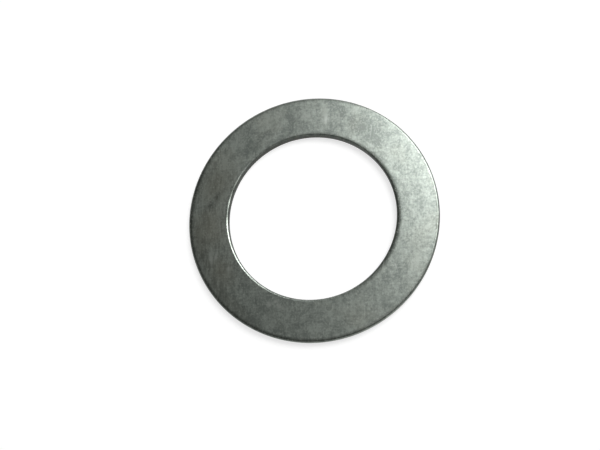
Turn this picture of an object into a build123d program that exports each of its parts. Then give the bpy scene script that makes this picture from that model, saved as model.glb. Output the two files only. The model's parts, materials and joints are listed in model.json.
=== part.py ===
from build123d import *
import os

# Narrow-rim flat washer for a 1 inch shaft, blanked and pierced from mild steel strip in one
# press stroke. It lies as it rests: the underside is on Z = 0, the bore runs along Z and the
# rolled-over face is up. Sizes are in millimetres.

# The ring, which is 38.1 mm across the outside
bore_diameter = 25.6
ring_width = 6.25
thickness = 1.2

# The sheared rim. The press first draws the top edge down and round, then shears a straight
# bright land, and then the steel tears away inwards to the underside.
rim_roll_width = 0.36
rim_roll_depth = 0.20
rim_land_height = 0.40
rim_breakout = 0.07

# The sheared bore has the same three bands, and its breakout opens towards the underside.
bore_roll_width = 0.32
bore_roll_depth = 0.18
bore_land_height = 0.42
bore_breakout = 0.06

# Tumbling softens the corner where a roll meets its land, and takes the burr off the underside.
tumbled_radius = 0.10
underside_break = 0.08

bore_radius = bore_diameter / 2
outside_radius = bore_radius + ring_width
rim_land_top = thickness - rim_roll_depth
bore_land_top = thickness - bore_roll_depth

with BuildPart() as washer:
    with BuildSketch(Plane.XZ) as section:
        with BuildLine() as outline:
            top_face = Line(
                (bore_radius + bore_roll_width, thickness),
                (outside_radius - rim_roll_width, thickness),
            )
            rim_roll = TangentArc(
                top_face @ 1,
                (outside_radius, rim_land_top),
                tangent=top_face % 1,
            )
            bore_roll = TangentArc(
                top_face @ 0,
                (bore_radius, bore_land_top),
                tangent=-(top_face % 0),
            )
            walls_and_underside = Polyline(
                rim_roll @ 1,
                (outside_radius, rim_land_top - rim_land_height),
                (outside_radius - rim_breakout, 0),
                (bore_radius + bore_breakout, 0),
                (bore_radius, bore_land_top - bore_land_height),
                bore_roll @ 1,
            )
        make_face()

        innermost = section.vertices().group_by(Axis.X)[0]
        outermost = section.vertices().group_by(Axis.X)[-1]
        roll_ends = [innermost.sort_by(Axis.Y)[-1], outermost.sort_by(Axis.Y)[-1]]
        fillet(roll_ends, radius=tumbled_radius)

        underside_corners = section.vertices().group_by(Axis.Y)[0]
        chamfer(underside_corners, length=underside_break)
    revolve(axis=Axis.Z)

washer.part.label = "washer"
os.makedirs("parts", exist_ok=True)
export_step(washer.part, "parts/washer.step")
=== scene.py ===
# %% [markdown]
# # A stamped steel washer
# The object is one narrow-rim flat washer: a ring of 1.2 mm steel sheet that is 38.1 mm across,
# with a 25.6 mm bore. It has no other pieces, so all of its character is in two places. One is the
# edge, which a press rolls over, shears and tears in one stroke. The other is the face, a satin
# grey with rolling lines, fine dents and a few bright handling scratches. The lesson makes the
# edge as geometry and the face as a procedural steel.

import json
import math

import bmesh
import bpy
from mathutils import Matrix, Vector


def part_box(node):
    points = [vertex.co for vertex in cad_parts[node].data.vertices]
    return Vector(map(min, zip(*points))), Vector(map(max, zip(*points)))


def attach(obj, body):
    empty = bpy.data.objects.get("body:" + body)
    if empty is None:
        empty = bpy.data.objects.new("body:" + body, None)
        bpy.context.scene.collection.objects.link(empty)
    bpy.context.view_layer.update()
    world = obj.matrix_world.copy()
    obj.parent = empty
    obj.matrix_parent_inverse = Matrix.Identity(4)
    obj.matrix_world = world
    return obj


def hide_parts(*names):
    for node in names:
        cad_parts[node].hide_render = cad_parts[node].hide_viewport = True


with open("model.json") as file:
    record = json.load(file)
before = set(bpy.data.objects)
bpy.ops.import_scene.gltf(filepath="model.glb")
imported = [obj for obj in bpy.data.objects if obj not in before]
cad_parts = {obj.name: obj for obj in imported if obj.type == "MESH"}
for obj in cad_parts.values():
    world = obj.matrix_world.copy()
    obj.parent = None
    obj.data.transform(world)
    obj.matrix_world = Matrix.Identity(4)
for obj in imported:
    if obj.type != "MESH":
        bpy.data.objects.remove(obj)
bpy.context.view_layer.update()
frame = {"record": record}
washer_low, washer_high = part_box("washer")
print("the packed washer reaches from", tuple(washer_low), "to", tuple(washer_high))

# %% [markdown]
# ## Sizes
# Blender works in metres and the maker in millimetres, so every size is written in millimetres and
# multiplied once. The ring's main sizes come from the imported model. Its box gives the outside and
# the thickness, and the bore's mount gives the radius of the hole. The smallest reach of the box is
# taken for the outside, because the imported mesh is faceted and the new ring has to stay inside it.

# %% The ring's main sizes
MM = 0.001

bore_mount = next(mount for mount in frame["record"]["mounts"] if mount["name"] == "bore")
bore_radius = bore_mount["dims"]["r_mm"] * MM
outside_radius = min(-washer_low.x, washer_high.x, -washer_low.y, washer_high.y)
thickness = washer_high.z - washer_low.z
print(f"bore radius {bore_radius / MM:.3f} mm, outside radius {outside_radius / MM:.3f} mm, "
      f"thickness {thickness / MM:.3f} mm")

# %% [markdown]
# ## One helper for every node tree
# Geometry Nodes and materials are both trees of nodes. A node has settings, such as the operation
# of a Math node, and input sockets, which hold a value or are fed by another node. One small
# function covers them all: it adds a node, fills in its settings and values, and links the rest.

# %% A function that adds a node
def add_node(tree, kind, settings=None, links=None):
    """Adds a node of a kind to a tree. settings holds properties and input values by name, and
    links holds the output socket that feeds each input. A number stands for an input's place."""
    node = tree.nodes.new(kind)
    for name, value in (settings or {}).items():
        if isinstance(name, str) and hasattr(node, name):
            setattr(node, name, value)
        else:
            node.inputs[name].default_value = value
    for name, source in (links or {}).items():
        tree.links.new(source, node.inputs[name])
    return node


# %% [markdown]
# ## The sheared edge
# A press doesn't cut sheet straight through. The punch first pulls the top surface down and round,
# which leaves a soft roll. Then it shears a straight, burnished land. For the rest of the thickness
# the steel tears, and the torn wall slopes back into the ring. A light tumble afterwards rounds
# the corner between the roll and the land and takes the burr off the underside.
#
# A bevel on a plain ring would give one even round edge. Here the section is drawn band by band
# instead, so every band keeps its own size and can get its own finish. The rim and the bore have
# the same bands, so the drawing is one node group that is used twice.

# %% Name the inputs of the sheared edge
edge_tree = bpy.data.node_groups.new("Sheared edge", "GeometryNodeTree")
for name in ("Thickness", "Roll width", "Roll depth", "Land height", "Breakout",
             "Tumbled radius", "Underside break"):
    socket = edge_tree.interface.new_socket(name, in_out="INPUT", socket_type="NodeSocketFloat")
    socket.subtype = "DISTANCE"
edge_tree.interface.new_socket("Bands", in_out="OUTPUT", socket_type="NodeSocketGeometry")
edge_input = edge_tree.nodes.new("NodeGroupInput")
print("the sheared edge takes", [item.name for item in edge_tree.interface.items_tree])

# %% [markdown]
# The section is drawn in a plane where x is 0 on the wall and negative into the steel, and y is the
# height above the underside. Two arcs make the roll. The large one starts level with the top face,
# and its radius follows from how far the roll reaches in and down. The small one is the tumbled
# corner. They meet where both lean by the same angle, whose sine is
# (roll width - tumbled radius) / (roll radius - tumbled radius).
#
# The sums are kept as a table with one Math node to a row, which reads like a page of working-out.

# %% Work out the section
quarter_turn = math.pi / 2
edge = {item.name: edge_input.outputs[item.name]
        for item in edge_tree.interface.items_tree if item.in_out == "INPUT"}
working_out = (
    ("width squared", "MULTIPLY", "Roll width", "Roll width"),
    ("depth squared", "MULTIPLY", "Roll depth", "Roll depth"),
    ("sum of squares", "ADD", "width squared", "depth squared"),
    ("twice the depth", "MULTIPLY", "Roll depth", 2.0),
    ("roll radius", "DIVIDE", "sum of squares", "twice the depth"),
    ("reach of the roll", "SUBTRACT", "Roll width", "Tumbled radius"),
    ("radius left", "SUBTRACT", "roll radius", "Tumbled radius"),
    ("sine", "DIVIDE", "reach of the roll", "radius left"),
    ("lean", "ARCSINE", "sine"),
    ("minus lean", "MULTIPLY", "lean", -1.0),
    ("cosine", "COSINE", "lean"),
    ("lean left", "SUBTRACT", quarter_turn, "lean"),
    ("minus lean left", "MULTIPLY", "lean left", -1.0),
    ("roll centre height", "SUBTRACT", "Thickness", "roll radius"),
    ("radius drop", "MULTIPLY", "radius left", "cosine"),
    ("land top", "ADD", "roll centre height", "radius drop"),
    ("minus roll width", "MULTIPLY", "Roll width", -1.0),
    ("minus tumbled radius", "MULTIPLY", "Tumbled radius", -1.0),
    ("under the roll", "SUBTRACT", "Thickness", "Roll depth"),
    ("tear height", "SUBTRACT", "under the roll", "Land height"),
    ("breakout squared", "MULTIPLY", "Breakout", "Breakout"),
    ("tear height squared", "MULTIPLY", "tear height", "tear height"),
    ("tear squared", "ADD", "breakout squared", "tear height squared"),
    ("tear length", "SQRT", "tear squared"),
    ("share broken off", "DIVIDE", "Underside break", "tear length"),
    ("share left", "SUBTRACT", 1.0, "share broken off"),
    ("minus breakout", "MULTIPLY", "Breakout", -1.0),
    ("tear end x", "MULTIPLY", "minus breakout", "share left"),
    ("tear end y", "MULTIPLY", "tear height", "share broken off"),
    ("underside end x", "SUBTRACT", "minus breakout", "Underside break"),
)
for name, operation, *terms in working_out:
    values = {place: term for place, term in enumerate(terms) if not isinstance(term, str)}
    feeds = {place: edge[term] for place, term in enumerate(terms) if isinstance(term, str)}
    sum_node = add_node(edge_tree, "ShaderNodeMath", {"operation": operation, **values}, feeds)
    edge[name] = sum_node.outputs["Value"]
print(len(working_out), "sums give the section of a sheared edge")

# %% [markdown]
# Each band is now drawn as a curve, always from the top face outwards and down. On the way it gets
# four marks, stored as attributes that travel with the mesh. "edge" grows from 0 to 1 over the
# roll and stays 1 below it. "wall" grows over the tumbled corner and is 1 on the wall. "torn" is 1
# on the torn part of the wall. "tear line" is 1 where the land ends and fades out above and below.
# The later steps and the steel read them by name.

# %% Draw the bands
corners = {}
for name, x, y in (("land top", None, "land top"), ("tear start", None, "tear height"),
                   ("tear end", "tear end x", "tear end y"), ("underside", "underside end x", None),
                   ("roll centre", "minus roll width", "roll centre height"),
                   ("tumbled centre", "minus tumbled radius", "land top")):
    feeds = {axis: edge[term] for axis, term in (("X", x), ("Y", y)) if term}
    corners[name] = add_node(edge_tree, "ShaderNodeCombineXYZ", {}, feeds).outputs[0]

along_band = add_node(edge_tree, "GeometryNodeSplineParameter").outputs["Factor"]
back_along_band = add_node(edge_tree, "ShaderNodeMath", {"operation": "SUBTRACT", 0: 1.0},
                           {1: along_band}).outputs[0]

drawn = []
for centre, radius, start, sweep, rows in (
        ("roll centre", "roll radius", quarter_turn, "minus lean", 9),
        ("tumbled centre", "Tumbled radius", "lean left", "minus lean left", 5)):
    feeds = {"Radius": edge[radius], "Sweep Angle": edge[sweep]}
    values = {"mode": "RADIUS", "Resolution": rows}
    if isinstance(start, str):
        feeds["Start Angle"] = edge[start]
    else:
        values["Start Angle"] = start
    arc = add_node(edge_tree, "GeometryNodeCurveArc", values, feeds)
    placed = add_node(edge_tree, "GeometryNodeTransform", {},
                      {"Geometry": arc.outputs["Curve"], "Translation": corners[centre]})
    marks = (along_band, 0.0, 0.0, 0.0) if start == quarter_turn else (1.0, along_band, 0.0, 0.0)
    drawn.append((placed.outputs["Geometry"], *marks))
for start, end, rows, torn, tear_line in (
        ("land top", "tear start", 5, 0.0, along_band),
        ("tear start", "tear end", 7, 1.0, back_along_band),
        ("tear end", "underside", 2, 1.0, 0.0)):
    line = add_node(edge_tree, "GeometryNodeCurvePrimitiveLine", {},
                    {"Start": corners[start], "End": corners[end]})
    cut = add_node(edge_tree, "GeometryNodeResampleCurve", {"Count": rows}, {"Curve": line.outputs[0]})
    drawn.append((cut.outputs["Curve"], 1.0, 1.0, torn, tear_line))

bands = add_node(edge_tree, "GeometryNodeJoinGeometry")
for curve, *marks in drawn:
    for name, mark in zip(("edge", "wall", "torn", "tear line"), marks):
        values, feeds = {"Name": name}, {"Geometry": curve}
        if isinstance(mark, float):
            values["Value"] = mark
        else:
            feeds["Value"] = mark
        curve = add_node(edge_tree, "GeometryNodeStoreNamedAttribute",
                         {"data_type": "FLOAT", "domain": "POINT", **values}, feeds).outputs[0]
    edge_tree.links.new(curve, bands.inputs[0])
add_node(edge_tree, "NodeGroupOutput", {}, {"Bands": bands.outputs[0]})
print(len(drawn), "bands make one sheared edge")

# %% [markdown]
# ## The ring
# The whole section is the rim's bands, the bore's bands and two straight lines for the faces. The
# bore's bands are the rim's drawn the other way round, so they are mirrored, and then reversed to
# run the same way as the rest. That keeps every face of the swept ring pointing outwards.
#
# A ring could be spun with the Screw modifier as well. Sweeping the section round a circle with
# Curve to Mesh was chosen because the sizes stay open as named inputs, and a different washer is a
# few new numbers in the modifier.

# %% Name the inputs of the ring
ring_tree = bpy.data.node_groups.new("Stamped washer", "GeometryNodeTree")
ring_tree.is_modifier = True
ring_inputs = {}
for name in ("Bore radius", "Ring width", "Thickness", "Rim roll width", "Rim roll depth",
             "Rim land height", "Rim breakout", "Bore roll width", "Bore roll depth",
             "Bore land height", "Bore breakout", "Tumbled radius", "Underside break",
             "Tear waviness", "Torn grain depth", "Dent depth"):
    ring_inputs[name] = ring_tree.interface.new_socket(name, in_out="INPUT",
                                                       socket_type="NodeSocketFloat")
    ring_inputs[name].subtype = "DISTANCE"
for name, socket_type in (("Segments", "NodeSocketInt"), ("Seed", "NodeSocketFloat"),
                          ("Steel", "NodeSocketMaterial")):
    ring_inputs[name] = ring_tree.interface.new_socket(name, in_out="INPUT", socket_type=socket_type)
ring_tree.interface.new_socket("Ring", in_out="OUTPUT", socket_type="NodeSocketGeometry")
ring_input = ring_tree.nodes.new("NodeGroupInput").outputs
print("the ring takes", list(ring_inputs))

# %% Place the rim, the bore and the two faces
edges = {}
for side in ("Rim", "Bore"):
    feeds = {name: ring_input[name] for name in ("Thickness", "Tumbled radius", "Underside break")}
    for name in ("roll width", "roll depth", "land height", "breakout"):
        feeds[name.capitalize()] = ring_input[f"{side} {name}"]
    edges[side] = add_node(ring_tree, "GeometryNodeGroup", {"node_tree": edge_tree}, feeds)

rim_place = add_node(ring_tree, "ShaderNodeCombineXYZ", {}, {"X": ring_input["Ring width"]})
rim_bands = add_node(ring_tree, "GeometryNodeTransform", {},
                     {"Geometry": edges["Rim"].outputs[0], "Translation": rim_place.outputs[0]})
mirrored = add_node(ring_tree, "GeometryNodeTransform", {"Scale": (-1, 1, 1)},
                    {"Geometry": edges["Bore"].outputs[0]})
bore_bands = add_node(ring_tree, "GeometryNodeReverseCurve", {}, {"Curve": mirrored.outputs[0]})

face_ends = {}
for name, operation, *terms in (
        ("top outer", "SUBTRACT", "Ring width", "Rim roll width"),
        ("under inner", "ADD", "Bore breakout", "Underside break"),
        ("under outer short", "SUBTRACT", "Ring width", "Rim breakout"),
        ("under outer", "SUBTRACT", "under outer short", "Underside break")):
    feeds = {place: face_ends.get(term) or ring_input[term] for place, term in enumerate(terms)}
    face_ends[name] = add_node(ring_tree, "ShaderNodeMath", {"operation": operation}, feeds).outputs[0]
face_ends["top inner"] = ring_input["Bore roll width"]

face_lines = []
for start, end, height, rows in (("top inner", "top outer", ring_input["Thickness"], 15),
                                 ("under outer", "under inner", None, 9)):
    ends = []
    for name in (start, end):
        feeds = {"X": face_ends[name]}
        if height:
            feeds["Y"] = height
        ends.append(add_node(ring_tree, "ShaderNodeCombineXYZ", {}, feeds).outputs[0])
    line = add_node(ring_tree, "GeometryNodeCurvePrimitiveLine", {}, {"Start": ends[0], "End": ends[1]})
    face_lines.append(add_node(ring_tree, "GeometryNodeResampleCurve", {"Count": rows},
                               {"Curve": line.outputs[0]}))
print("the section is", len(face_lines), "faces between two sheared edges")

# %% [markdown]
# Curve to Mesh carries the section round a circle of the bore's radius. It lays the section's x
# along the circle's normal, which points out, and its y along the binormal, which points down. So
# the strips come out upside down, and a Transform that mirrors z sets them right and turns their
# faces outwards as well. Merge by Distance then welds the strips into one closed skin.
#
# Edges that turn by more than 25 degrees are marked sharp before anything is roughened. That leaves
# the rolls smooth and the underside's small break crisp.

# %% Sweep the section and weld it
weld_distance = 0.0005 * MM
sharp_angle_deg = 25

section = add_node(ring_tree, "GeometryNodeJoinGeometry")
for part in (face_lines[0].outputs[0], rim_bands.outputs[0], face_lines[1].outputs[0],
             bore_bands.outputs[0]):
    ring_tree.links.new(part, section.inputs[0])
path = add_node(ring_tree, "GeometryNodeCurvePrimitiveCircle", {"mode": "RADIUS"},
                {"Resolution": ring_input["Segments"], "Radius": ring_input["Bore radius"]})
level_path = add_node(ring_tree, "GeometryNodeSetCurveNormal", {"mode": "Z_UP"},
                      {"Curve": path.outputs["Curve"]})
swept = add_node(ring_tree, "GeometryNodeCurveToMesh", {},
                 {"Curve": level_path.outputs[0], "Profile Curve": section.outputs[0]})
upright = add_node(ring_tree, "GeometryNodeTransform", {"Scale": (1, 1, -1)},
                   {"Geometry": swept.outputs[0]})
welded = add_node(ring_tree, "GeometryNodeMergeByDistance", {"Distance": weld_distance},
                  {"Geometry": upright.outputs[0]})
turn = add_node(ring_tree, "GeometryNodeInputMeshEdgeAngle")
sharp = add_node(ring_tree, "ShaderNodeMath",
                 {"operation": "GREATER_THAN", 1: math.radians(sharp_angle_deg)},
                 {0: turn.outputs["Unsigned Angle"]})
smooth_faces = add_node(ring_tree, "GeometryNodeSetShadeSmooth",
                        {"domain": "FACE", "Shade Smooth": True}, {"Geometry": welded.outputs[0]})
marked = add_node(ring_tree, "GeometryNodeStoreNamedAttribute",
                  {"data_type": "BOOLEAN", "domain": "EDGE", "Name": "sharp_edge"},
                  {"Geometry": smooth_faces.outputs[0], "Value": sharp.outputs[0]})
print("the ring is swept and welded")

# %% [markdown]
# ## What makes it look pressed and tumbled
# A real torn wall starts at a wandering line and has a coarse grain, and the edges of a washer
# that was tumbled with thousands of others carry small dents. These are shapes, so they are moved
# vertices and not paint. The grain and the dents go into the steel, along the normal with a minus
# sign, and the line only wanders up and down the wall. So the ring stays inside its measured box.
#
# Noise gives the wandering line and the grain, and a Voronoi texture gives the dents: the distance
# to its nearest random point shapes a round bowl at each point. All of them are measured in
# millimetres. A noise keeps between about 0.3 and 0.7, so that span is stretched to a full swing.

# %% Let the tear line wander
where = add_node(ring_tree, "GeometryNodeInputPosition").outputs[0]
where_mm = add_node(ring_tree, "ShaderNodeVectorMath", {"operation": "SCALE", "Scale": 1 / MM},
                    {0: where}).outputs[0]
named = {name: add_node(ring_tree, "GeometryNodeInputNamedAttribute", {"Name": name}).outputs[0]
         for name in ("edge", "torn", "tear line")}

wander_length = 2.2
wander = add_node(ring_tree, "ShaderNodeTexNoise",
                  {"noise_dimensions": "4D", "Scale": 1 / wander_length, "Detail": 3.0},
                  {"Vector": where_mm, "W": ring_input["Seed"]})
swing = add_node(ring_tree, "ShaderNodeMapRange",
                 {"From Min": 0.3, "From Max": 0.7, "To Min": -1.0, "To Max": 1.0},
                 {"Value": wander.outputs[0]})
lift = add_node(ring_tree, "ShaderNodeMath", {"operation": "MULTIPLY"},
                {0: swing.outputs[0], 1: ring_input["Tear waviness"]})
lift_here = add_node(ring_tree, "ShaderNodeMath", {"operation": "MULTIPLY"},
                     {0: lift.outputs[0], 1: named["tear line"]})
lift_vector = add_node(ring_tree, "ShaderNodeCombineXYZ", {}, {"Z": lift_here.outputs[0]})
wandered = add_node(ring_tree, "GeometryNodeSetPosition", {},
                    {"Geometry": marked.outputs[0], "Offset": lift_vector.outputs[0]})
print(f"the tear line wanders over stretches of about {wander_length} mm")

# %% Press the torn grain and the dents into the steel
grain_size = 0.28
torn_grain = add_node(ring_tree, "ShaderNodeTexNoise",
                      {"noise_dimensions": "4D", "Scale": 1 / grain_size, "Detail": 2.0},
                      {"Vector": where_mm, "W": ring_input["Seed"]})
grain_depth = add_node(ring_tree, "ShaderNodeMath", {"operation": "MULTIPLY"},
                       {0: torn_grain.outputs[0], 1: ring_input["Torn grain depth"]})
grain_here = add_node(ring_tree, "ShaderNodeMath", {"operation": "MULTIPLY"},
                      {0: grain_depth.outputs[0], 1: named["torn"]})

dent_spacing = 1.5
dent_radius = 0.34
dent_cells = add_node(ring_tree, "ShaderNodeTexVoronoi",
                      {"voronoi_dimensions": "4D", "Scale": 1 / dent_spacing},
                      {"Vector": where_mm, "W": ring_input["Seed"]})
dent_bowl = add_node(ring_tree, "ShaderNodeMapRange",
                     {"interpolation_type": "SMOOTHSTEP", "From Min": dent_radius / dent_spacing,
                      "From Max": 0.0, "To Min": 0.0, "To Max": 1.0},
                     {"Value": dent_cells.outputs["Distance"]})
dent_depth = add_node(ring_tree, "ShaderNodeMath", {"operation": "MULTIPLY"},
                      {0: dent_bowl.outputs[0], 1: ring_input["Dent depth"]})
dent_here = add_node(ring_tree, "ShaderNodeMath", {"operation": "MULTIPLY"},
                     {0: dent_depth.outputs[0], 1: named["edge"]})

press_depth = add_node(ring_tree, "ShaderNodeMath", {"operation": "ADD"},
                       {0: grain_here.outputs[0], 1: dent_here.outputs[0]})
inwards = add_node(ring_tree, "ShaderNodeMath", {"operation": "MULTIPLY", 1: -1.0},
                   {0: press_depth.outputs[0]})
outward = add_node(ring_tree, "GeometryNodeInputNormal").outputs[0]
press_vector = add_node(ring_tree, "ShaderNodeVectorMath", {"operation": "SCALE"},
                        {0: outward, "Scale": inwards.outputs[0]})
pressed = add_node(ring_tree, "GeometryNodeSetPosition", {},
                   {"Geometry": wandered.outputs[0], "Offset": press_vector.outputs[0]})
real = add_node(ring_tree, "GeometryNodeRealizeInstances", {}, {"Geometry": pressed.outputs[0]})
dressed = add_node(ring_tree, "GeometryNodeSetMaterial", {},
                   {"Geometry": real.outputs[0], "Material": ring_input["Steel"]})
add_node(ring_tree, "NodeGroupOutput", {}, {"Ring": dressed.outputs[0]})
print("the ring's tree has", len(ring_tree.nodes), "nodes")

# %% [markdown]
# ## The steel
# The real finish is plain mild steel sheet, tumbled after stamping until it is a dull satin. It has
# no plating and no paint. A metal has no colour of its own under its shine, so Metallic is 1, the
# base colour is what it mirrors, and the IOR keeps its default. Hex colours are how a picture
# editor shows them, while a shader needs linear light, so one function converts them.

# %% Turn a hex colour into linear light
def linear_colour(hex_colour):
    """An sRGB hex colour such as #B4B9B0 as linear red, green, blue and alpha."""
    channels = [int(hex_colour[place:place + 2], 16) / 255 for place in (1, 3, 5)]
    return (*(c / 12.92 if c <= 0.04045 else ((c + 0.055) / 1.055) ** 2.4 for c in channels), 1.0)


STEEL_PALE = linear_colour("#BAC3BB")
STEEL_MID = linear_colour("#A6AEA7")
STEEL_DULL = linear_colour("#8F9791")
STEEL_WARM = linear_colour("#9C9A8B")
# STEEL_SOIL_AND_SHADE is soil and painted shade, for the edges and the smudges.
STEEL_SOIL_AND_SHADE = linear_colour("#373A35")
STEEL_OIL = linear_colour("#5E5A4C")
STEEL_LAND = linear_colour("#A0A69F")
# The bore's wall colour is a painted shade, and the torn wall's is torn steel darkened with painted
# shade.
STEEL_BORE_WALL_SHADE = linear_colour("#42453F")
STEEL_TORN_AND_SHADE = linear_colour("#474B45")
# STEEL_BARE_AND_GLINT is bare steel, and also the colour of the painted glints.
STEEL_BARE_AND_GLINT = linear_colour("#D2D8D1")
FACE_ROUGHNESS = 0.30
print("the steel's middle tone is", [round(c, 3) for c in STEEL_MID[:3]])

# %% [markdown]
# Every pattern starts from the object's own coordinates, turned into millimetres, so a scale of
# 1 / 0.3 means features 0.3 mm across. Five layers make the face:
#
# - the lay, fine lines that the mill's rolls leave along one direction, here X. Real lines are a
#   few hundredths of a millimetre wide, far below a pixel, so they are drawn 0.22 mm wide;
# - fine streaks across the lay, where the sheet was wiped, drawn as wide for the same reason;
# - a mottle from knocking against other washers. It is as strong in specks of 0.15 mm as in
#   patches of 1.5 mm, so its noise keeps a Roughness near 1, where finer detail hardly fades;
# - crisp specks of about 0.3 mm: pits where scale came off, and spots that stand a little proud;
# - stains of several millimetres, which shift the tone slightly.

# %% Lay, streaks, mottle, specks and stains
steel = bpy.data.materials.new("Tumbled mild steel")
steel.use_nodes = True
steel_tree = steel.node_tree
steel_tree.nodes.clear()

object_place = add_node(steel_tree, "ShaderNodeTexCoord").outputs["Object"]
place_mm = add_node(steel_tree, "ShaderNodeVectorMath", {"operation": "SCALE", "Scale": 1 / MM},
                    {0: object_place}).outputs[0]

layer = {}
for name, size_x, size_y, size_z, detail, fine_share in (
        ("lay", 1.60, 0.22, 0.9, 2.0, 0.6),
        ("streaks", 0.24, 1.6, 0.9, 2.0, 0.6),
        ("mottle", 1.3, 1.6, 1.4, 3.0, 0.95),
        ("specks", 0.27, 0.33, 0.30, 1.0, 0.5),
        ("stains", 6.0, 6.0, 6.0, 3.0, 0.5)):
    stretched = add_node(steel_tree, "ShaderNodeMapping",
                         {"Scale": (1 / size_x, 1 / size_y, 1 / size_z)}, {"Vector": place_mm})
    layer[name] = add_node(steel_tree, "ShaderNodeTexNoise",
                           {"Scale": 1.0, "Detail": detail, "Roughness": fine_share},
                           {"Vector": stretched.outputs[0]}).outputs[0]
print("the face has", len(layer), "layers of noise")

# %% [markdown]
# Handling scratches are short straight lines, laid here in four directions. A Voronoi texture has
# one random point in each cell, so a cell that is stretched long and thin draws a thin spindle.
# Only a few cells in a hundred keep theirs, picked by the cell's random colour. A cell is 0.42 mm
# wide and the spindle fills about half of it, which is wider than a real hairline, so that it
# shows. The cell is 5 mm deep, far more than the sheet is thick, so a scratch keeps its width.

# %% Fine scratches in four directions
cell_width = 0.42
cell_depth = 5.0
spindle_side = 0.26
spindle_core = 0.06

scratches = None
for turn_deg, length, kept in ((82, 7.0, 0.07), (97, 9.0, 0.05), (24, 8.0, 0.04), (-38, 7.0, 0.04)):
    laid = add_node(steel_tree, "ShaderNodeMapping",
                    {"Rotation": (0, 0, math.radians(-turn_deg))}, {"Vector": place_mm})
    thin = add_node(steel_tree, "ShaderNodeVectorMath",
                    {"operation": "MULTIPLY", 1: (1 / length, 1 / cell_width, 1 / cell_depth)},
                    {0: laid.outputs[0]})
    cells = add_node(steel_tree, "ShaderNodeTexVoronoi", {"Scale": 1.0, "Randomness": 1.0},
                     {"Vector": thin.outputs[0]})
    spindle = add_node(steel_tree, "ShaderNodeMapRange",
                       {"From Min": spindle_side, "From Max": spindle_core},
                       {"Value": cells.outputs["Distance"]})
    chance = add_node(steel_tree, "ShaderNodeSeparateColor", {}, {"Color": cells.outputs["Color"]})
    chosen = add_node(steel_tree, "ShaderNodeMath", {"operation": "LESS_THAN", 1: kept},
                      {0: chance.outputs[0]})
    line = add_node(steel_tree, "ShaderNodeMath", {"operation": "MULTIPLY"},
                    {0: spindle.outputs[0], 1: chosen.outputs[0]}).outputs[0]
    if scratches:
        line = add_node(steel_tree, "ShaderNodeMath", {"operation": "MAXIMUM"},
                        {0: scratches, 1: line}).outputs[0]
    scratches = line
print("scratches are laid")

# %% [markdown]
# This washer also has marks of its own: short bright nicks, spots that were rubbed bright, dark
# smudges, a film of oil, a warm tint on the left side, and soft patches that came out paler or duller.
# They are few, so each is given as an ellipse on the face. A row has its middle in millimetres from the
# bore's axis, its turn in degrees, and its length and width in millimetres. The place is moved to the
# ellipse's middle, a Mapping node turns it level, and then the distance from the middle says how strong
# the mark is.

# %% List the washer's own marks
own_marks = {
    "bright": ((-8.9, 10.3, 92, 1.3, 0.16), (-8.3, 10.0, 80, 1.0, 0.13), (2.4, 15.2, 84, 1.6, 0.50),
               (12.4, -8.2, 108, 1.7, 0.17), (11.6, -9.0, 100, 1.1, 0.12)),
    "rubbed": ((-6.25, -13.4, 60, 1.7, 1.1), (-5.3, -12.95, 20, 1.5, 0.9), (-4.7, -13.7, 150, 1.9, 1.0),
               (-15.35, -6.3, 100, 2.8, 1.0), (-14.6, -5.9, 78, 2.2, 0.7), (-12.6, -7.9, 80, 1.5, 0.9),
               (2.4, 15.4, 88, 2.6, 0.9)),
    # The first two smudges are real, and the two on the bore's roll are painted shade that dims its
    # bright line.
    "smudge_and_shade": ((-15.6, 2.3, 50, 4.0, 2.2), (-14.7, 3.6, 58, 3.2, 1.8), (-13.0, 0.9, 86, 3.8, 1.0),
               (-12.25, 4.4, 70, 4.6, 1.0)),
    "oil": ((-13.2, -12.0, -44, 16.0, 3.2), (-17.2, -4.0, -76, 13.0, 3.0)),
    "warm": ((-14.8, 5.6, 70, 12.0, 8.0), (-15.8, -1.5, 92, 12.0, 8.0), (-13.8, -8.0, 120, 9.0, 6.0)),
    "pale": ((2.4, 16.0, 88, 5.0, 1.5), (0.6, 16.6, 90, 4.4, 1.4), (-1.2, 16.4, 93, 4.0, 1.3),
             (7.2, 16.2, 90, 4.0, 1.5), (-6.6, 15.8, 22, 5.6, 3.2), (-14.9, -6.3, 100, 4.6, 2.0),
             (-5.0, -15.4, 18, 7.0, 4.0), (0.4, -17.0, 0, 4.4, 2.0), (-11.6, 12.4, 48, 5.0, 3.0),
             (-14.0, 8.0, 62, 5.6, 2.8), (-15.8, 4.8, 74, 7.0, 5.4), (-15.4, 6.8, 66, 4.6, 2.6),
             (-17.0, -5.0, 98, 4.0, 1.8), (15.0, -8.2, 60, 4.0, 1.9)),
    "dull": ((-3.3, 15.9, 95, 7.0, 2.6), (8.0, 13.8, 150, 7.6, 6.0), (9.8, 11.9, 130, 6.0, 4.4),
             (-8.8, 11.8, 37, 8.4, 2.8), (5.0, 16.2, 90, 4.4, 1.8), (-8.2, -16.0, -28, 5.0, 2.0),
             (-7.2, 13.2, 40, 4.4, 1.8), (-16.4, 0.2, 84, 5.0, 2.4), (13.2, -8.8, 60, 4.6, 2.4)),
}
print("the washer has", sum(len(places) for places in own_marks.values()), "marks of its own")

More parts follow.
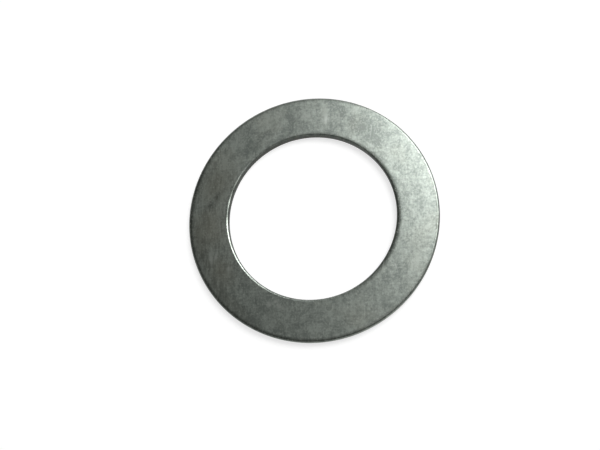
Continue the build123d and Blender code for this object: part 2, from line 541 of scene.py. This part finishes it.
# %% Draw the marks
marks = {}
for kind, places in own_marks.items():
    total = None
    for x, y, turn_deg, length, width in places:
        moved = add_node(steel_tree, "ShaderNodeVectorMath", {"operation": "SUBTRACT", 1: (x, y, 0)},
                         {0: place_mm})
        level = add_node(steel_tree, "ShaderNodeMapping",
                         {"Rotation": (0, 0, math.radians(-turn_deg)), "Scale": (1, 1, 0)},
                         {"Vector": moved.outputs[0]})
        squeezed = add_node(steel_tree, "ShaderNodeVectorMath",
                            {"operation": "MULTIPLY", 1: (2 / length, 2 / width, 0)},
                            {0: level.outputs[0]})
        reach = add_node(steel_tree, "ShaderNodeVectorMath", {"operation": "LENGTH"},
                         {0: squeezed.outputs[0]})
        mark = add_node(steel_tree, "ShaderNodeMapRange",
                        {"interpolation_type": "SMOOTHSTEP", "From Min": 1.0, "From Max": 0.0},
                        {"Value": reach.outputs["Value"]}).outputs[0]
        if total:
            mark = add_node(steel_tree, "ShaderNodeMath", {"operation": "MAXIMUM"},
                            {0: total, 1: mark}).outputs[0]
        total = mark
    marks[kind] = total
print("the marks are of the kinds", list(marks))

# %% [markdown]
# The tone is one number that adds up the layers and the patches, and a colour ramp turns it into
# steel colours. Adding numbers first and colouring them once keeps the hues of the steel together,
# where mixing several colours over each other would wash them out. A noise swings round 0.5, which
# is taken off before it is weighted, while a mark starts from 0. The left side of this washer was
# wiped the hardest, so the streaks count once more there, from 9 mm left of the axis outwards.

# %% Tone of the face
wiped_from = -9.0
wiped_fully = -15.0
place_x = add_node(steel_tree, "ShaderNodeSeparateXYZ", {}, {"Vector": place_mm}).outputs["X"]
wiped_side = add_node(steel_tree, "ShaderNodeMapRange",
                      {"interpolation_type": "SMOOTHSTEP", "From Min": wiped_from,
                       "From Max": wiped_fully}, {"Value": place_x}).outputs[0]
streak_height = add_node(steel_tree, "ShaderNodeMath", {"operation": "SUBTRACT", 1: 0.5},
                         {0: layer["streaks"]}).outputs[0]
wiped_streaks = add_node(steel_tree, "ShaderNodeMath", {"operation": "MULTIPLY"},
                         {0: streak_height, 1: wiped_side}).outputs[0]
tone = None
for source, middle, weight in ((layer["lay"], 0.5, 0.36), (layer["streaks"], 0.5, 0.36),
                               (layer["mottle"], 0.5, 1.85), (layer["specks"], 0.5, 0.55),
                               (layer["stains"], 0.5, 0.30), (wiped_streaks, 0.0, 1.0),
                               (marks["pale"], 0.0, 0.24), (marks["dull"], 0.0, -0.28)):
    centred = add_node(steel_tree, "ShaderNodeMath", {"operation": "SUBTRACT", 1: middle}, {0: source})
    scaled = add_node(steel_tree, "ShaderNodeMath",
                      {"operation": "MULTIPLY_ADD", 1: weight, 2: 0.0 if tone else 0.5},
                      {0: centred.outputs[0]})
    if tone:
        steel_tree.links.new(tone, scaled.inputs[2])
    tone = scaled.outputs[0]
print("the tone adds up", len(layer), "layers, the wiped streaks and the patches")

# %% [markdown]
# The ramp runs from a dull grey to a pale one. The largest stains turn a little warmer, because
# oil dries brown.

# %% Colour of the face
ramp = add_node(steel_tree, "ShaderNodeValToRGB", {}, {"Fac": tone})
ramp.color_ramp.elements[0].position = 0.22
ramp.color_ramp.elements[0].color = STEEL_DULL
ramp.color_ramp.elements[1].position = 0.78
ramp.color_ramp.elements[1].color = STEEL_PALE
ramp.color_ramp.elements.new(0.5).color = STEEL_MID

# A Mix node keeps inputs of every type under the same names, so its colours go by place.
MIX_A, MIX_B, MIX_RESULT = 6, 7, 2
warm_share = add_node(steel_tree, "ShaderNodeMapRange",
                      {"From Min": 0.52, "From Max": 0.72, "To Min": 0.0, "To Max": 0.2},
                      {"Value": layer["stains"]})
face_colour = add_node(steel_tree, "ShaderNodeMix", {"data_type": "RGBA", MIX_B: STEEL_WARM},
                       {0: warm_share.outputs[0], MIX_A: ramp.outputs["Color"]}).outputs[MIX_RESULT]
print("the face's tones run from", [round(c, 2) for c in STEEL_DULL[:3]],
      "to", [round(c, 2) for c in STEEL_PALE[:3]])

# %% [markdown]
# The sheared edge is darker than the face. Partly this is soil: tumbling mud and oil stay on the roll
# and a few tenths of a millimetre beyond it, where nothing rubs flat, and in the grain of the torn
# wall. It is painted shade as well: the rolls, the walls and a strip of face beside them are darkened
# where the edge stands in shade or mirrors the dark room, and on some sides this dims the rolls'
# highlights. The rim's burnished land is left brighter than the bore's wall, which is painted a dark
# shade. The distance from the axis says where the soil and shade lie, and the marks that the geometry
# carries say where each band is.
#
# The soil and painted shade aren't even all round. Each row below is one darker patch on one edge. It
# has the direction of its darker side, the span along that direction in which it grows, as shares of
# the edge's radius, the least and the most cover, and how far onto the face it reaches, in millimetres:
# where it ends and where it is full. On this washer the rim is darkest at the lower left, with lesser
# patches at the left, right and upper right, and the bore is darkest at the right. The bore's roll is
# darkened all round with painted shade.

# %% Where the soil and painted shade lie
flattened = add_node(steel_tree, "ShaderNodeVectorMath", {"operation": "MULTIPLY", 1: (1, 1, 0)},
                     {0: place_mm})
axis_distance = add_node(steel_tree, "ShaderNodeVectorMath", {"operation": "LENGTH"},
                         {0: flattened.outputs[0]}).outputs["Value"]
edge_mark, wall_mark, torn_mark = (
    add_node(steel_tree, "ShaderNodeAttribute", {"attribute_name": name}).outputs["Fac"]
    for name in ("edge", "wall", "torn"))
soil_and_shade = {}
edge_places = {"rim": (outside_radius / MM, -1), "bore": (bore_radius / MM, 1)}
# Each row paints shade and soil onto one edge, darker on one side.
for place, darker_side, span, least, most, far, near in (
        ("rim", (-0.95, -0.30, 0), (-0.9, 0.9), 0.22, 0.80, 0.75, 0.22),
        ("rim, right", (0.94, -0.34, 0), (0.83, 0.99), 0.0, 0.55, 0.65, 0.20),
        ("rim, upper right", (0.94, 0.34, 0), (0.78, 0.97), 0.0, 0.35, 0.80, 0.35),
        ("rim, left", (-0.97, 0.26, 0), (0.84, 0.99), 0.0, 0.40, 1.10, 0.45),
        ("bore", (1.0, 0.1, 0), (0.0, 0.9), 0.28, 0.52, 0.75, 0.22),
        ("bore, right", (0.99, -0.10, 0), (0.50, 0.95), 0.0, 0.72, 1.00, 0.36)):
    edge_radius, inwards = edge_places[place.split(",")[0]]
    towards = add_node(steel_tree, "ShaderNodeVectorMath",
                       {"operation": "DOT_PRODUCT", 1: darker_side}, {0: place_mm})
    cover = add_node(steel_tree, "ShaderNodeMapRange",
                     {"From Min": span[0] * edge_radius, "From Max": span[1] * edge_radius,
                      "To Min": least, "To Max": most}, {"Value": towards.outputs["Value"]})
    reach = add_node(steel_tree, "ShaderNodeMapRange",
                     {"interpolation_type": "SMOOTHSTEP", "From Min": edge_radius + far * inwards,
                      "From Max": edge_radius + near * inwards}, {"Value": axis_distance})
    soil_and_shade[place] = add_node(steel_tree, "ShaderNodeMath", {"operation": "MULTIPLY"},
                           {0: reach.outputs[0], 1: cover.outputs[0]}).outputs[0]
nearer_rim = add_node(steel_tree, "ShaderNodeMath",
                      {"operation": "GREATER_THAN", 1: (bore_radius + outside_radius) / 2 / MM},
                      {0: axis_distance}).outputs[0]
# The bore's roll gets painted shade all round, strongest towards the wall.
on_roll = add_node(steel_tree, "ShaderNodeMath", {"operation": "POWER", 1: 4.0}, {0: edge_mark})
off_rim = add_node(steel_tree, "ShaderNodeMath", {"operation": "SUBTRACT", 0: 1.0}, {1: nearer_rim})
soil_and_shade["bore, roll"] = add_node(steel_tree, "ShaderNodeMath", {"operation": "MULTIPLY"},
                              {0: on_roll.outputs[0], 1: off_rim.outputs[0]}).outputs[0]
print("soil lies at the", ", ".join(soil_and_shade))

# %% [markdown]
# Bare steel shows in the scratches, which are faint, and in the nicks, and painted glints show where a
# speck stands proud: the highest specks are coloured like bare steel. Whichever is strongest counts,
# and only on the face, because the rolls carry soil and painted shade.

# %% Where bare steel and painted glints show
faint_scratches = add_node(steel_tree, "ShaderNodeMath", {"operation": "MULTIPLY", 1: 0.42},
                           {0: scratches}).outputs[0]
# Painted glints: the highest specks are coloured like bare steel.
painted_glints = add_node(steel_tree, "ShaderNodeMapRange",
                  {"From Min": 0.58, "From Max": 0.75, "To Min": 0.0, "To Max": 0.40},
                  {"Value": layer["specks"]}).outputs[0]
strongest = faint_scratches
for other in (marks["bright"], painted_glints):
    strongest = add_node(steel_tree, "ShaderNodeMath", {"operation": "MAXIMUM"},
                         {0: strongest, 1: other}).outputs[0]
off_edge = add_node(steel_tree, "ShaderNodeMath", {"operation": "SUBTRACT", 0: 1.0},
                    {1: edge_mark}).outputs[0]
bare_and_glints = add_node(steel_tree, "ShaderNodeMath", {"operation": "MULTIPLY"},
                {0: strongest, 1: off_edge}).outputs[0]
print("bare steel shows in scratches, nicks and glints")

# %% [markdown]
# The colours are laid over each other row by row: first the warm tint, smudges, oil and rubbed spots on
# the face, with the smudges on the bore's roll as painted shade, next the soil and painted shade at the
# edges, then the walls, the bore's painted a dark shade, and the tear, darkened with painted shade.
# Bare steel and the painted glints come last, over everything. Each row has where the colour lies, how
# strongly it covers, and the colour.

# %% Lay the colours over each other
# The bore's wall is painted a dark shade, and the rim's land keeps the burnished colour.
wall_colour_and_shade = add_node(steel_tree, "ShaderNodeMix",
                       {"data_type": "RGBA", MIX_A: STEEL_BORE_WALL_SHADE, MIX_B: STEEL_LAND},
                       {0: nearer_rim}).outputs[MIX_RESULT]
colour = face_colour
for share, strength, paint in ((marks["warm"], 0.45, STEEL_WARM), (marks["smudge_and_shade"], 0.64, STEEL_SOIL_AND_SHADE),
                               (marks["oil"], 0.32, STEEL_OIL), (marks["rubbed"], 0.58, STEEL_BARE_AND_GLINT),
                               *((soil_and_shade_share, 0.90, STEEL_SOIL_AND_SHADE) for soil_and_shade_share in soil_and_shade.values()),
                               (wall_mark, 0.90, wall_colour_and_shade), (torn_mark, 1.00, STEEL_TORN_AND_SHADE),
                               (bare_and_glints, 0.85, STEEL_BARE_AND_GLINT)):
    laid_on = add_node(steel_tree, "ShaderNodeMath", {"operation": "MULTIPLY", 1: strength},
                       {0: share})
    feeds = {0: laid_on.outputs[0], MIX_A: colour}
    if paint is wall_colour_and_shade:
        feeds[MIX_B] = paint
    colour = add_node(steel_tree, "ShaderNodeMix",
                      {"data_type": "RGBA", **({} if paint is wall_colour_and_shade else {MIX_B: paint})},
                      feeds).outputs[MIX_RESULT]
print("smudges, edges and scratches are coloured")

# %% [markdown]
# Roughness says how far a reflection spreads. Tumbled sheet is near 0.3: sharp enough that a
# window shows as a soft glow, too rough for a picture of it. The same layers change it a little.
# Lines and stains spread the light more, and so do smudges and the sides of a scratch, while the
# pale parts of the mottle are rubbed smoother. The changes stay small, because the face mirrors a
# place beside the lamp, where a smoother spot catches less of its glow and turns dark. The torn
# wall is much rougher.

# %% Roughness
roughness = None
for source, weight in ((layer["lay"], 0.04), (layer["mottle"], -0.05), (layer["stains"], 0.07)):
    centred = add_node(steel_tree, "ShaderNodeMath", {"operation": "SUBTRACT", 1: 0.5}, {0: source})
    scaled = add_node(steel_tree, "ShaderNodeMath",
                      {"operation": "MULTIPLY_ADD", 1: weight, 2: FACE_ROUGHNESS},
                      {0: centred.outputs[0]})
    if roughness:
        steel_tree.links.new(roughness, scaled.inputs[2])
    roughness = scaled.outputs[0]
for share, weight in ((torn_mark, 0.22), (marks["smudge_and_shade"], 0.05), (bare_and_glints, 0.02)):
    roughness = add_node(steel_tree, "ShaderNodeMath", {"operation": "MULTIPLY_ADD", 1: weight},
                         {0: share, 2: roughness}).outputs[0]
print("the face is", FACE_ROUGHNESS, "rough")

# %% [markdown]
# The relief is added up in micrometres, so each number below is a real depth, and the Bump node's
# distance is one micrometre. The face is only a few micrometres deep, and bare steel lies a little
# lower, because it is scratched in. The land has fine grooves across its height, drawn by the
# punch, and their noise is stretched along z. The torn wall is coarse, and five times as deep as
# the mottle.

# %% Relief
UM = 0.000001
groove_width = 0.16
groove_length = 3.0
fine_grain_size = 0.13

grooves_place = add_node(steel_tree, "ShaderNodeMapping",
                         {"Scale": (1 / groove_width, 1 / groove_width, 1 / groove_length)},
                         {"Vector": place_mm})
grooves = add_node(steel_tree, "ShaderNodeTexNoise", {"Scale": 1.0, "Detail": 2.0},
                   {"Vector": grooves_place.outputs[0]}).outputs[0]
grain = add_node(steel_tree, "ShaderNodeTexNoise", {"Scale": 1 / fine_grain_size, "Detail": 3.0},
                 {"Vector": place_mm}).outputs[0]
grooves_here = add_node(steel_tree, "ShaderNodeMath", {"operation": "MULTIPLY"},
                        {0: grooves, 1: wall_mark}).outputs[0]
grain_here = add_node(steel_tree, "ShaderNodeMath", {"operation": "MULTIPLY"},
                      {0: grain, 1: torn_mark}).outputs[0]

relief = None
for source, depth_um in ((layer["lay"], 1.8), (layer["streaks"], 1.4), (layer["mottle"], 4.2),
                         (layer["specks"], 2.0), (bare_and_glints, -0.8), (grooves_here, 4.0),
                         (grain_here, 22.0)):
    relief_node = add_node(steel_tree, "ShaderNodeMath",
                           {"operation": "MULTIPLY_ADD", 1: depth_um, 2: 0.0}, {0: source})
    if relief:
        steel_tree.links.new(relief, relief_node.inputs[2])
    relief = relief_node.outputs[0]
bump = add_node(steel_tree, "ShaderNodeBump", {"Strength": 1.0, "Distance": UM}, {"Height": relief})

# Iron mirrors less at a glancing angle than the shader's white edge would, so the edge is greyed.
surface = add_node(steel_tree, "ShaderNodeBsdfPrincipled",
                   {"Metallic": 1.0, "Specular Tint": (0.75, 0.75, 0.75, 1.0)},
                   {"Base Color": colour, "Roughness": roughness, "Normal": bump.outputs[0]})
add_node(steel_tree, "ShaderNodeOutputMaterial", {}, {"Surface": surface.outputs[0]})
print("the steel has", len(steel_tree.nodes), "nodes")

# %% [markdown]
# ## Make the ring
# The tree is put on an empty mesh as a modifier, and every input is set by its socket's identifier
# before Blender evaluates it for the first time. 960 segments put a vertex every eighth of a
# millimetre round the rim, which is fine enough for the dents. The result is then turned into a
# plain mesh, because a mesh is what moves with a body and what is exported.

# %% Fill in the sizes and keep the result
edge_sizes_mm = {
    "Rim roll width": 0.36, "Rim roll depth": 0.20, "Rim land height": 0.40, "Rim breakout": 0.07,
    "Bore roll width": 0.32, "Bore roll depth": 0.18, "Bore land height": 0.42, "Bore breakout": 0.06,
    "Tumbled radius": 0.10, "Underside break": 0.08,
    "Tear waviness": 0.06, "Torn grain depth": 0.014, "Dent depth": 0.035,
}
chosen_values = {name: size * MM for name, size in edge_sizes_mm.items()}
chosen_values.update({"Bore radius": bore_radius, "Ring width": outside_radius - bore_radius,
                      "Thickness": thickness, "Segments": 960, "Seed": 4.0, "Steel": steel})

ring = bpy.data.objects.new("washer_ring", bpy.data.meshes.new("washer_ring"))
bpy.context.scene.collection.objects.link(ring)
sweep = ring.modifiers.new("Stamped washer", "NODES")
sweep.node_group = ring_tree
for name, value in chosen_values.items():
    sweep[ring_inputs[name].identifier] = value

evaluated = ring.evaluated_get(bpy.context.evaluated_depsgraph_get())
ring_mesh = bpy.data.meshes.new_from_object(evaluated)
ring.modifiers.remove(sweep)
ring.data = ring_mesh

skin = bmesh.new()
skin.from_mesh(ring_mesh)
open_edges = sum(not one.is_manifold for one in skin.edges)
volume_mm3 = skin.calc_volume(signed=True) / MM ** 3
skin.free()
heights = [vertex.co.z for vertex in ring_mesh.vertices]
reach = max(math.hypot(vertex.co.x, vertex.co.y) for vertex in ring_mesh.vertices)
print(f"the ring has {len(ring_mesh.polygons)} faces, {open_edges} open edges and {volume_mm3:.1f} mm3")
print(f"it reaches {reach / MM:.4f} mm out and from {min(heights) / MM:.4f} to "
      f"{max(heights) / MM:.4f} mm high")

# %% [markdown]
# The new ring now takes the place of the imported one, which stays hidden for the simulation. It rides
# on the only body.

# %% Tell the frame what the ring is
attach(ring, "root")
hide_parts("washer")

# %% [markdown]
# ## The white sweep
# Small parts are often photographed on white paper that curves up behind them, so no horizon shows
# from any side. Here it is a bowl: flat under the washer, then rising all round to 42 degrees above
# it, so that in a low view the steel mirrors paper and not a dark room. It is made in bmesh, ring
# by ring, because it is one plain surface with no sizes to play with.

# %% Shape the paper
flat_radius = 0.9
curve_radius = 0.4
wall_height = 0.77
paper_section = [(flat_radius * share, 0.0) for share in (0.1, 0.4, 0.7, 1.0)]
paper_section += [(flat_radius + curve_radius * math.sin(math.radians(turn_deg)),
                   curve_radius * (1 - math.cos(math.radians(turn_deg))))
                  for turn_deg in range(9, 91, 9)]
paper_section.append((flat_radius + curve_radius, curve_radius + wall_height))
paper_drop = 0.01 * MM
paper_sides = 96

paper_bmesh = bmesh.new()
rings = []
for radius, height in paper_section:
    rings.append([paper_bmesh.verts.new((radius * math.cos(math.tau * side / paper_sides),
                                         radius * math.sin(math.tau * side / paper_sides),
                                         height - paper_drop)) for side in range(paper_sides)])
paper_bmesh.faces.new(rings[0])
for inner, outer in zip(rings, rings[1:]):
    for side in range(paper_sides):
        after = (side + 1) % paper_sides
        paper_bmesh.faces.new((inner[side], outer[side], outer[after], inner[after]))
paper_mesh = bpy.data.meshes.new("paper_sweep")
paper_bmesh.to_mesh(paper_mesh)
paper_bmesh.free()
paper_mesh.shade_smooth()
paper = bpy.data.objects.new("paper_sweep", paper_mesh)
bpy.context.scene.collection.objects.link(paper)
print("the paper sweep is", 2 * paper_section[-1][0], "m across")

# %% [markdown]
# To the camera and in reflections the paper has a white of its own, from Light Path, and the rest of
# its brightness is real light, so the washer still throws a faint shadow. Far from the washer that own
# white falls off to a pale grey, a painted fall-off of light as in a real tent. The fall-off follows
# the logarithm of the distance, which is how distance is squeezed in a low view, so it looks even
# there.

# %% Whiten the paper
near_distance = 0.07
far_distance = 1.4
near_white = 0.72
far_white = 0.44

paper_white = bpy.data.materials.new("White paper sweep")
paper_white.use_nodes = True
paper_tree = paper_white.node_tree
paper_tree.nodes.clear()
ray = add_node(paper_tree, "ShaderNodeLightPath").outputs
seen = add_node(paper_tree, "ShaderNodeMath", {"operation": "MAXIMUM"},
                {0: ray["Is Camera Ray"], 1: ray["Is Glossy Ray"]})
seen_through = add_node(paper_tree, "ShaderNodeMath", {"operation": "MAXIMUM"},
                        {0: seen.outputs[0], 1: ray["Is Transmission Ray"]})
paper_place = add_node(paper_tree, "ShaderNodeTexCoord").outputs["Object"]
paper_distance = add_node(paper_tree, "ShaderNodeVectorMath", {"operation": "LENGTH"},
                          {0: paper_place}).outputs["Value"]
doublings = add_node(paper_tree, "ShaderNodeMath", {"operation": "LOGARITHM", 1: 2.0},
                     {0: paper_distance})
# The paper's own white dims with distance: a painted fall-off of light.
own_white_with_falloff = add_node(paper_tree, "ShaderNodeMapRange",
                     {"interpolation_type": "SMOOTHSTEP", "From Min": math.log2(near_distance),
                      "From Max": math.log2(far_distance), "To Min": near_white, "To Max": far_white},
                     {"Value": doublings.outputs[0]})
glow_strength = add_node(paper_tree, "ShaderNodeMath", {"operation": "MULTIPLY"},
                         {0: own_white_with_falloff.outputs[0], 1: seen_through.outputs[0]})
glow = add_node(paper_tree, "ShaderNodeEmission", {}, {"Strength": glow_strength.outputs[0]})
lit = add_node(paper_tree, "ShaderNodeBsdfDiffuse", {"Color": linear_colour("#A8A8A8")})
paper_sum = add_node(paper_tree, "ShaderNodeAddShader", {}, {0: lit.outputs[0], 1: glow.outputs[0]})
add_node(paper_tree, "ShaderNodeOutputMaterial", {}, {"Surface": paper_sum.outputs[0]})
paper_mesh.materials.append(paper_white)
print("the paper is white")

# %% [markdown]
# ## Light
# A flat metal face shows one thing: what is opposite the camera. In the photograph the face goes
# from bright at the upper right to dark at the lower left, so a single large soft light stands high
# on the upper right side, just outside the direction in which the face would mirror it. The
# face's roughness spreads its glow over the side of the ring that is nearest to it. The bore's
# roll at the left leans just enough to mirror the light itself, and that gives the thin bright
# line there. All the rest of the room is dim and plain.

# %% Hang the soft light
light_direction_deg = 47.0
light_elevation_deg = 54.0
light_distance = 1.2
light_side = 0.77
light_watts = 13.4

light_data = bpy.data.lights.new("soft_key", "AREA")
light_data.shape = "SQUARE"
light_data.size = light_side
light_data.energy = light_watts
light_turn = math.radians(light_direction_deg)
light_rise = math.radians(light_elevation_deg)
towards_light = Vector((math.cos(light_rise) * math.cos(light_turn),
                        math.cos(light_rise) * math.sin(light_turn), math.sin(light_rise)))
light = bpy.data.objects.new("soft_key", light_data)
light.location = towards_light * light_distance
light.rotation_euler = towards_light.to_track_quat("Z", "Y").to_euler()
bpy.context.scene.collection.objects.link(light)
print("one soft light of", light_side, "m,", light_watts, "W")

# %% Dim the room
room_grey = (0.106, 0.106, 0.101, 1.0)

room = bpy.data.worlds.new("Dim room")
room.use_nodes = True
room.node_tree.nodes.clear()
room_light = add_node(room.node_tree, "ShaderNodeBackground", {"Color": room_grey})
add_node(room.node_tree, "ShaderNodeOutputWorld", {}, {"Surface": room_light.outputs[0]})
bpy.context.scene.world = room
bpy.context.scene.view_settings.view_transform = "Standard"
print("the room is dim")

# %% [markdown]
# ## Camera
# The photograph was taken from almost straight above, at close range. The two circles of the ring
# give the view: how much each is flattened gives the tilt, and how far their middles are apart
# gives the distance. The frame is 600 by 450 pixels, and the ring's middle lies a little right of
# and above the frame's, so the camera aims at a point beside the bore's axis.

# %% Set up the camera
camera_turn_deg = 31.2
camera_elevation_deg = 72.6
camera_distance = 109.0 * MM
right_of_middle = 1.654 * MM
above_middle = 1.503 * MM

camera_data = bpy.data.cameras.new("camera")
camera_data.sensor_width = 36.0
camera_data.lens = 43.5
camera_turn = math.radians(camera_turn_deg)
camera_rise = math.radians(camera_elevation_deg)
back = Vector((math.sin(camera_turn) * math.cos(camera_rise),
               -math.cos(camera_turn) * math.cos(camera_rise), math.sin(camera_rise)))
right = Vector((0, 1, 0)).cross(back).normalized()
up = back.cross(right)
aim = Vector((0, 0, thickness)) - right * right_of_middle - up * above_middle
camera = bpy.data.objects.new("camera", camera_data)
camera.location = aim + back * camera_distance
camera.rotation_mode = "QUATERNION"
camera.rotation_quaternion = Matrix((right, up, back)).transposed().to_quaternion()
camera_data.clip_start = 0.001
camera_data.clip_end = 20.0
bpy.context.scene.collection.objects.link(camera)
bpy.context.scene.camera = camera
print("the camera is", round(camera.location.length / MM, 1), "mm from the washer's middle")
